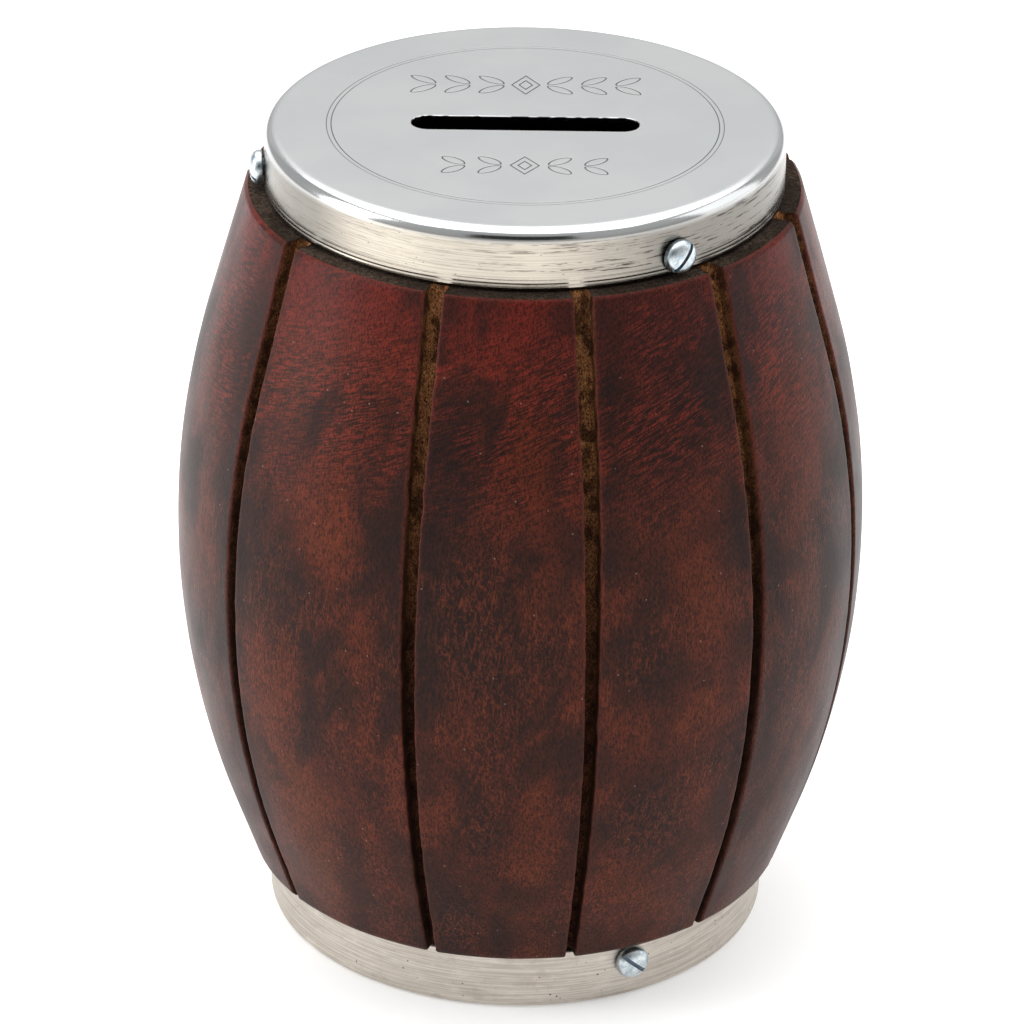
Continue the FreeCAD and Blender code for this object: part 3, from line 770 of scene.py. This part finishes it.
def engraving(x, y, marks, half_line):
    """How much each point has of an ornament's line and of the ring's groove, and how dark it is."""
    starts = [p for mark in marks for p in mark]
    ends = [p for mark in marks for p in mark[1:] + mark[:1]]
    line = np.clip(1 - to_segments(x, y, starts, ends) / half_line, 0, 1)
    reach = np.hypot(x, y)
    inner, outer = RING_RADII
    line[reach > inner - 1] = 0.0  # no ornament near the ring
    groove = np.clip((reach - inner) / RING_LINE, 0, 1) * np.clip((outer - reach) / RING_LINE, 0, 1)
    half_ring = RING_LINE / 2
    dark_ring = 0.8 * np.clip(1 - abs(reach - inner - half_ring) / half_ring, 0, 1)
    dark_ring += 0.55 * np.clip(1 - abs(outer - reach - half_ring) / half_ring, 0, 1)
    return line, groove, np.maximum(0.9 * line, dark_ring)


class CapSkin:
    """The skin of the top cap, built up in patches of points and faces."""

    def __init__(self):
        self.points, self.faces, self.engraved, self.skirt = [], [], [], []

    def add(self, points, faces, engraved, skirt):
        first = len(self.points)
        self.points += points
        self.faces += [tuple(i + first for i in face) for face in faces]
        self.engraved += list(engraved)
        self.skirt += list(skirt)


def add_flat_top(skin, cut):
    """The cap's flat upper face, with its ring, ornament and worn slot."""
    half_line = LINE_WIDTH / 2
    marks = ornament()
    lines = []
    for mark in marks:
        lines += [mark, offset_outline(mark, half_line), offset_outline(mark, -half_line)]
    inner, outer = RING_RADII
    steps = (0.0, RING_LINE / 2, RING_LINE)
    rings = [circle(inner + d) for d in steps] + [circle(outer - d) for d in steps[::-1]]
    rims = [circle(TOP_CAP_RADIUS - TOP_EDGE - d) for d in (0.0, 0.4, 1.2)]
    x, y, faces = flat_sheet(rims + rings + lines + [slot_outline(SLOT_LIP)], cut)
    line, groove, dark = engraving(x, y, marks, half_line)
    at_cut = to_segments(x, y, cut, cut[1:] + cut[:1]) < 0.01
    z = TOP_FACE - LINE_DEPTH * line - RING_DEPTH * groove - SLOT_LIP * at_cut
    skin.add(list(zip(x, y, z)), faces, dark, [0.0] * len(x))


def add_slot_and_underside(skin, cut):
    """The flat under the top sheet, and the slot's wall, which is painted dark as shade."""
    x, y, faces = flat_sheet([circle(TOP_CAP_RADIUS - TOP_EDGE)], cut)
    zeros = [0.0] * len(x)
    skin.add([(a, b, TOP_FACE - SHEET) for a, b in zip(x, y)], faces, zeros, zeros)
    count = len(cut)
    wall = [(a, b, TOP_FACE - drop) for drop in (SLOT_LIP, SHEET) for a, b in cut]
    # the slot's wall takes 0.8 of the dark engraving colour: painted shade inside the slot
    skin.add(wall, loop_faces(2, count), [0.8] * len(wall), [0.0] * len(wall))


def add_skirt(skin):
    """The rounded edge and the skirt, outside and inside."""
    inner_edge = arc((TOP_CAP_RADIUS - TOP_EDGE, TOP_FACE - TOP_EDGE), TOP_EDGE - SHEET, 0, 90, 8)
    inner_side = [(TOP_CAP_RADIUS - SHEET, TOP_RIM + rise) for rise in (0.1, 3)]
    points, faces = lathe(skirt_section() + inner_side + inner_edge, ROUND)
    skirt = [float(np.clip((TOP_FACE - z - 1.2) / 1.2, 0, 1)) for _, _, z in points]
    skin.add(points, faces, [0.0] * len(points), skirt)


def make_top_cap(material):
    cut = slot_outline(0.0)
    skin = CapSkin()
    add_flat_top(skin, cut)
    add_slot_and_underside(skin, cut)
    add_skirt(skin)
    values = {"engraved": skin.engraved, "skirt": skin.skirt}
    return add_mesh("capped_top", skin.points, skin.faces, material, FLAT_SHARP, **values)


def make_base_cap(material):
    inside_radius = BASE_CAP_RADIUS - SHEET
    outer_edge = arc((BASE_CAP_RADIUS - BASE_EDGE, BASE_EDGE), BASE_EDGE, -90, 0, 10)
    inner_edge = arc((inside_radius - (BASE_EDGE - SHEET), BASE_EDGE), BASE_EDGE - SHEET, 0, -90, 6)
    floor = [(r, 0.0) for r in (0, 15, 30, 38, 40)]
    wall = [(BASE_CAP_RADIUS, z) for z in spread(BASE_EDGE + 0.3, BASE_RIM - 0.5, 10)]
    rim = [(BASE_CAP_RADIUS, BASE_RIM - 0.2), (BASE_CAP_RADIUS - 0.15, BASE_RIM), (inside_radius, BASE_RIM)]
    section = floor + outer_edge + wall + rim + inner_edge + [(20, SHEET), (0, SHEET)]
    points, faces = lathe(section, ROUND)
    return add_mesh("cupped_base", points, faces, material)


# ---------------------------------------------------------------------------------------------- screws


def thread(radius, height, angle):
    """Radius of the screw below its head, with a sharp helical thread that fades in at each end."""
    if height > -SHANK_LENGTH:
        return radius
    turn = (height / THREAD_PITCH - angle / math.tau) % 1.0
    ridge = max(0.0, 1.0 - abs(turn - 0.5) / 0.32)
    near_shank = min(1.0, (-SHANK_LENGTH - height) / 0.5)
    near_tip = min(1.0, (height + SCREW_LENGTH) / TIP_LENGTH)
    return radius + (CREST_RADIUS - ROOT_RADIUS) * ridge * near_shank * near_tip


def make_screw_mesh(material):
    """One screw with its head's flat underside at height 0 and its tip down."""
    tip = [(0, -SCREW_LENGTH)]
    tip += [(ROOT_RADIUS * t**0.8, -SCREW_LENGTH + TIP_LENGTH * t) for t in spread(0.06, 1, 18)]
    core = [(ROOT_RADIUS, z) for z in spread(TIP_LENGTH - SCREW_LENGTH + 0.08, -SHANK_LENGTH - 0.05, 60)]
    shank = [(CREST_RADIUS - 0.02, z) for z in (-SHANK_LENGTH, -1.0, -0.2)]
    head = [(CREST_RADIUS + 0.1, 0.0)]
    head += [(HEAD_RADIUS - inset, z) for inset, z in ((0.12, 0.0), (0.03, 0.05), (0.0, 0.15))]
    for t in spread(0, 1, 20):
        reach = math.cos(t * math.pi / 2) ** 0.8
        rise = HEAD_RIM + (HEAD_HEIGHT - HEAD_RIM) * math.sin(t * math.pi / 2) ** 0.9
        head.append((HEAD_RADIUS * reach if t < 1 else 0, rise))
    points, faces = lathe(tip + core + shank + head, 72, wobble=thread)
    screw = add_mesh("screw_pattern", points, faces, material)
    width, depth = DRIVER_SLOT
    past = 4  # beyond the head's edge and its top
    level = HEAD_HEIGHT - depth
    box = [(x, y, z) for x in (-past, past) for y in (-width / 2, width / 2) for z in (level, past)]
    sides = [(0, 1, 3, 2), (4, 6, 7, 5), (0, 4, 5, 1), (2, 3, 7, 6), (0, 2, 6, 4), (1, 5, 7, 3)]
    cut_away(screw, [add_mesh("driver_slot", box, sides, material)], sharp=32.0)
    mesh = screw.data
    bpy.data.objects.remove(screw)
    places = [v.co / MM for v in mesh.vertices]
    # marks the floor of the driver slot, which the material paints dark as shade
    painted_slot_shade = [float(abs(p.y) < width * 0.51 and abs(p.z - level) < 0.01) for p in places]
    mesh.attributes.new("painted_slot_shade", "FLOAT", "POINT").data.foreach_set("value", painted_slot_shade)
    return mesh


def screw_places():
    """Where each screw's seat is and which way it faces: its joint's axis, at the height of its own box."""
    for joint in frame["joints"]:
        name = joint["child"]
        facing = Vector(joint["axis"]).normalized()
        low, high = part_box(name)
        radius = TOP_CAP_RADIUS if name.startswith("top") else BASE_CAP_RADIUS
        level = Vector((0, 0, (low.z + high.z) / 2 / MM))
        yield name, facing, facing * (radius + HEAD_GAP) + level


def facing_matrix(facing, turn=0.0):
    """A rotation that takes +Z to the facing direction and keeps +Y up, after a turn about +Z in degrees."""
    up = Vector((0, 0, 1))
    sideways = up.cross(facing).normalized()
    upright = Matrix((sideways, up, facing)).transposed()
    return upright @ Matrix.Rotation(math.radians(turn), 3, "Z")


def drill(facing, seat, radius, material):
    """A closed rod along a screw's axis, with a blunt point, to cut its hole."""
    outer_end = 6.0
    section = [(0, -HOLE_DEPTH), (radius, 0.4 - HOLE_DEPTH), (radius, outer_end), (0, outer_end)]
    points, faces = lathe(section, 48)
    turn = facing_matrix(facing)
    placed = [turn @ Vector(p) + seat for p in points]
    return add_mesh("drill", placed, faces, material)


# ---------------------------------------------------------------------------------------------- stage


def area_light(name, place, size, power):
    """A rectangular lamp, aimed at the middle of the object."""
    light = bpy.data.lights.new(name, "AREA")
    light.shape = "RECTANGLE"
    light.size, light.size_y = size
    light.energy = power
    lamp = bpy.data.objects.new(name, light)
    bpy.context.scene.collection.objects.link(lamp)
    lamp.location = place
    aim = Vector((0, 0, 0.07))
    lamp.rotation_euler = (aim - Vector(place)).to_track_quat("-Z", "Y").to_euler()


def add_floor():
    """A pale floor that gives off a little light of its own."""
    reach = 6.0 / MM
    corners = [(-reach, -reach, 0), (reach, -reach, 0), (reach, reach, 0), (-reach, reach, 0)]
    pale = {"Base_Color": (0.86, 0.86, 0.86), "Specular_IOR_Level": 0.1}
    glow = {"Emission_Color": (1.0, 1.0, 1.0), "Emission_Strength": 0.30}
    white = Shader("floor_white").finish(**pale, **glow)
    add_mesh("floor", corners, [(0, 1, 2, 3)], white)


def add_dark_screen():
    """The dark side of the studio behind the camera, which the cap's rounded edge reflects."""
    left, right, behind, low, high = -500, 470, -1150, 400, 1150
    corners = [(left, behind, low), (right, behind, low), (right, behind, high), (left, behind, high)]
    look = {"Base_Color": (0.01, 0.01, 0.01), "Roughness": 0.9, "Specular_IOR_Level": 0.1}
    add_mesh("dark_screen", corners, [(0, 1, 2, 3)], Shader("screen_black").finish(**look))


def set_stage():
    add_floor()
    add_dark_screen()
    area_light("top_light", (0.0, 0.3, 1.7), (2.6, 2.2), 46)
    area_light("left_light", (-1.3, -0.2, 0.55), (0.6, 1.2), 13)
    area_light("right_light", (1.4, 0.2, 0.5), (1.0, 1.5), 5)
    area_light("rear_light", (0.0, 1.6, 0.8), (2.6, 1.0), 1.2)
    world = bpy.data.worlds.new("studio")
    world.use_nodes = True
    background = world.node_tree.nodes["Background"]
    background.inputs["Color"].default_value = (1.0, 1.0, 1.0, 1.0)
    background.inputs["Strength"].default_value = 0.5
    bpy.context.scene.world = world
    bpy.context.scene.view_settings.view_transform = "Standard"


def set_camera():
    """Looks from the front and 27 degrees above, with a long lens, and tilted a little to the side."""
    elevation = math.radians(27.24)
    distance = 1.0
    target = Vector((0, 0, 0.0697))
    back = Vector((0, -math.cos(elevation), math.sin(elevation)))
    up = Vector((0, math.sin(elevation), math.cos(elevation)))
    # it aims a little left of the middle and above it
    aim = target + Vector((-0.00137, 0, 0)) + up * 0.00144
    camera = bpy.data.cameras.new("camera")
    camera.lens = 210.2
    camera.sensor_width = 36.0
    eye = bpy.data.objects.new("camera", camera)
    bpy.context.scene.collection.objects.link(eye)
    eye.location = target + back * distance
    level_view = (aim - eye.location).to_track_quat("-Z", "Y").to_matrix().to_4x4()
    roll = Matrix.Rotation(math.radians(0.72), 4, "Z")
    eye.matrix_world = Matrix.Translation(eye.location) @ level_view @ roll
    bpy.context.scene.camera = eye


# ---------------------------------------------------------------------------------------------- assembly

wood = stained_wood()
zinc = screw_zinc()
barrel = make_barrel(wood)
top_cap = make_top_cap(top_metal())
base_cap = make_base_cap(base_metal())
screw_mesh = make_screw_mesh(zinc)
places = list(screw_places())
pilots = [drill(facing, seat, PILOT_RADIUS, wood) for _, facing, seat in places]
cut_away(barrel, pilots, sharp=50.0)
for cap, end in ((top_cap, "top"), (base_cap, "base")):
    mine = [place for place in places if place[0].startswith(end)]
    holes = [drill(facing, seat, HOLE_RADIUS, zinc) for _, facing, seat in mine]
    cut_away(cap, holes, FLAT_SHARP)

for piece, node, slot in (
    (barrel, "barrel_body", "stained_wood"),
    (top_cap, "top_cap", "top_metal"),
    (base_cap, "base_cap", "base_metal"),
):
    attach(piece, "box")
    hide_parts(node)

for name, facing, seat in places:
    mesh = screw_mesh.copy()
    turn = facing_matrix(facing, DRIVER_SLOT_TURNS[name])
    mesh.transform(Matrix.Translation(seat * MM) @ turn.to_4x4())
    screw = bpy.data.objects.new(f"{name}_finished", mesh)
    bpy.context.scene.collection.objects.link(screw)
    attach(screw, name)
    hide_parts(name)

set_stage()
set_camera()
